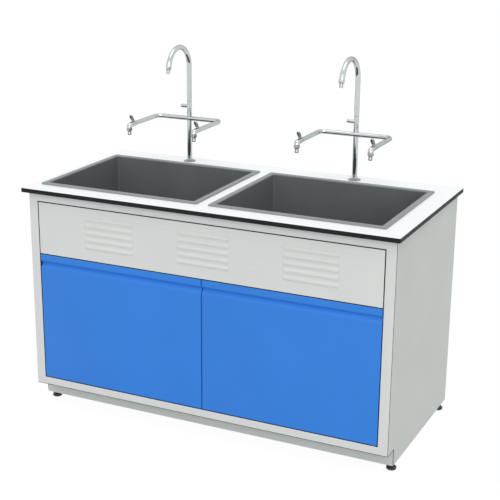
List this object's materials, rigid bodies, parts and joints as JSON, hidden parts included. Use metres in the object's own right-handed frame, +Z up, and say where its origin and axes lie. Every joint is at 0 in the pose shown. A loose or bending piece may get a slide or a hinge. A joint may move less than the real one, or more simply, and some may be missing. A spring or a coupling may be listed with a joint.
{
  "type": "laboratory sink unit",
  "caption": "Free-standing laboratory sink bench: a steel cupboard with hinged doors and a louvred panel, drop-in bowls in a worktop, and swan-neck taps with side arms.",
  "frame": {"origin": "on the floor, centred under the worktop", "axes": "+X to the right along the worktop, +Y to the back, +Z up; the doors are on the -Y side"},
  "size_m": [1.5, 0.75, 1.3885],
  "materials": {
    "worktop_core": "black phenolic core, satin edge",
    "worktop_laminate": "white chemical-resistant laminate, fine matt texture",
    "steel_screws": "zinc-plated",
    "cabinet_paint": "light grey epoxy powder coat, fine texture",
    "frame_paint": "pale grey epoxy powder coat, fine texture",
    "foot_rubber": "black moulded nylon",
    "zinc_steel": "zinc-plated, satin",
    "door_paint": "blue epoxy powder coat, satin",
    "nylon": "moulded nylon",
    "sink_plastic": "dark grey polypropylene, matt",
    "waste_plastic": "black polypropylene, matt",
    "strainer_steel": "brushed stainless steel",
    "grommet_rubber": "black rubber",
    "chrome": "polished chrome plate",
    "tap_brass": "plain brass"
  },
  "bodies": {
    "cabinet": {"back_panel": "cabinet_paint", "base_rails": "cabinet_paint", "base_shelf": "cabinet_paint", "bib_bodies": "chrome", "bib_nozzles": "chrome", "coupling_nuts": "waste_plastic", "drain_grommets": "grommet_rubber", "foot_nuts": "zinc_steel", "front_bottom_rail": "frame_paint", "front_stile_left": "frame_paint", "front_stile_right": "frame_paint", "front_top_rail": "frame_paint", "hinge_pins": "zinc_steel", "louvre_panel": "frame_paint", "magnet_catches": "nylon", "mid_rail": "frame_paint", "plinth_panel": "cabinet_paint", "rear_top_rail": "cabinet_paint", "side_panel_left": "cabinet_paint", "side_panel_right": "cabinet_paint", "sink_clips": "zinc_steel", "sink_left": "sink_plastic", "sink_right": "sink_plastic", "sink_wastes": "waste_plastic", "tap_arms_left": "chrome", "tap_arms_right": "chrome", "tap_column_left": "chrome", "tap_column_right": "chrome", "tap_flanges": "chrome", "tap_lock_nuts": "tap_brass", "trap_bodies": "waste_plastic", "trap_cups": "waste_plastic", "waste_nuts": "waste_plastic", "waste_strainers": "strainer_steel", "worktop_core": "worktop_core", "worktop_laminate": "worktop_laminate", "worktop_screws": "steel_screws"},
    "left_door": {"door_skin_left": "door_paint", "door_liner_left": "door_paint", "door_bushes_left": "nylon", "strike_plate_left": "zinc_steel"},
    "left_swan_neck": {"gooseneck_left": "chrome", "gooseneck_nozzle_left": "chrome"},
    "left_tap_side_lever": {"tap_lever_left": "chrome"},
    "left_tap_left_paddle": {"bib_lever_left_left": "chrome"},
    "left_tap_right_paddle": {"bib_lever_left_right": "chrome"},
    "right_door": {"door_skin_right": "door_paint", "door_liner_right": "door_paint", "door_bushes_right": "nylon", "strike_plate_right": "zinc_steel"},
    "right_swan_neck": {"gooseneck_right": "chrome", "gooseneck_nozzle_right": "chrome"},
    "right_tap_side_lever": {"tap_lever_right": "chrome"},
    "right_tap_left_paddle": {"bib_lever_right_left": "chrome"},
    "right_tap_right_paddle": {"bib_lever_right_right": "chrome"},
    "front_left_foot": {"levelling_foot_front_left": "foot_rubber"},
    "front_right_foot": {"levelling_foot_front_right": "foot_rubber"},
    "rear_left_foot": {"levelling_foot_rear_left": "foot_rubber"},
    "rear_right_foot": {"levelling_foot_rear_right": "foot_rubber"}
  },
  "joints": [
    {"name": "left_door_hinge", "type": "hinge", "parent": "cabinet", "child": "left_door", "pos_m": [-0.6775, -0.341, 0.3844], "axis": [0, 0, -1], "range_deg": [0, 110]},
    {"name": "right_door_hinge", "type": "hinge", "parent": "cabinet", "child": "right_door", "pos_m": [0.6775, -0.341, 0.3844], "axis": [0, 0, 1], "range_deg": [0, 110]},
    {"name": "left_swan_neck_swivel", "type": "hinge", "parent": "cabinet", "child": "left_swan_neck", "pos_m": [-0.389, 0.3115, 1.15], "axis": [0, 0, 1], "continuous": true},
    {"name": "left_tap_side_lever_lift", "type": "hinge", "parent": "cabinet", "child": "left_tap_side_lever", "pos_m": [-0.393, 0.3115, 1.129], "axis": [0, 1, 0], "range_deg": [0, 20]},
    {"name": "left_tap_left_paddle_turn", "type": "hinge", "parent": "cabinet", "child": "left_tap_left_paddle", "pos_m": [-0.534, 0.1035, 1.09025], "axis": [0, 0, -1], "range_deg": [0, 90]},
    {"name": "left_tap_right_paddle_turn", "type": "hinge", "parent": "cabinet", "child": "left_tap_right_paddle", "pos_m": [-0.244, 0.1035, 1.09025], "axis": [0, 0, 1], "range_deg": [0, 90]},
    {"name": "right_swan_neck_swivel", "type": "hinge", "parent": "cabinet", "child": "right_swan_neck", "pos_m": [0.3345, 0.3115, 1.15], "axis": [0, 0, 1], "continuous": true},
    {"name": "right_tap_side_lever_lift", "type": "hinge", "parent": "cabinet", "child": "right_tap_side_lever", "pos_m": [0.3305, 0.3115, 1.129], "axis": [0, 1, 0], "range_deg": [0, 20]},
    {"name": "right_tap_left_paddle_turn", "type": "hinge", "parent": "cabinet", "child": "right_tap_left_paddle", "pos_m": [0.1895, 0.1035, 1.09025], "axis": [0, 0, -1], "range_deg": [0, 90]},
    {"name": "right_tap_right_paddle_turn", "type": "hinge", "parent": "cabinet", "child": "right_tap_right_paddle", "pos_m": [0.4795, 0.1035, 1.09025], "axis": [0, 0, 1], "range_deg": [0, 90]},
    {"name": "front_left_foot_turn", "type": "hinge", "parent": "cabinet", "child": "front_left_foot", "pos_m": [-0.7148, -0.243, 0], "axis": [0, 0, 1], "continuous": true},
    {"name": "front_right_foot_turn", "type": "hinge", "parent": "cabinet", "child": "front_right_foot", "pos_m": [0.7148, -0.243, 0], "axis": [0, 0, 1], "continuous": true},
    {"name": "rear_left_foot_turn", "type": "hinge", "parent": "cabinet", "child": "rear_left_foot", "pos_m": [-0.7148, 0.3265, 0], "axis": [0, 0, 1], "continuous": true},
    {"name": "rear_right_foot_turn", "type": "hinge", "parent": "cabinet", "child": "rear_right_foot", "pos_m": [0.7148, 0.3265, 0], "axis": [0, 0, 1], "continuous": true}
  ]
}
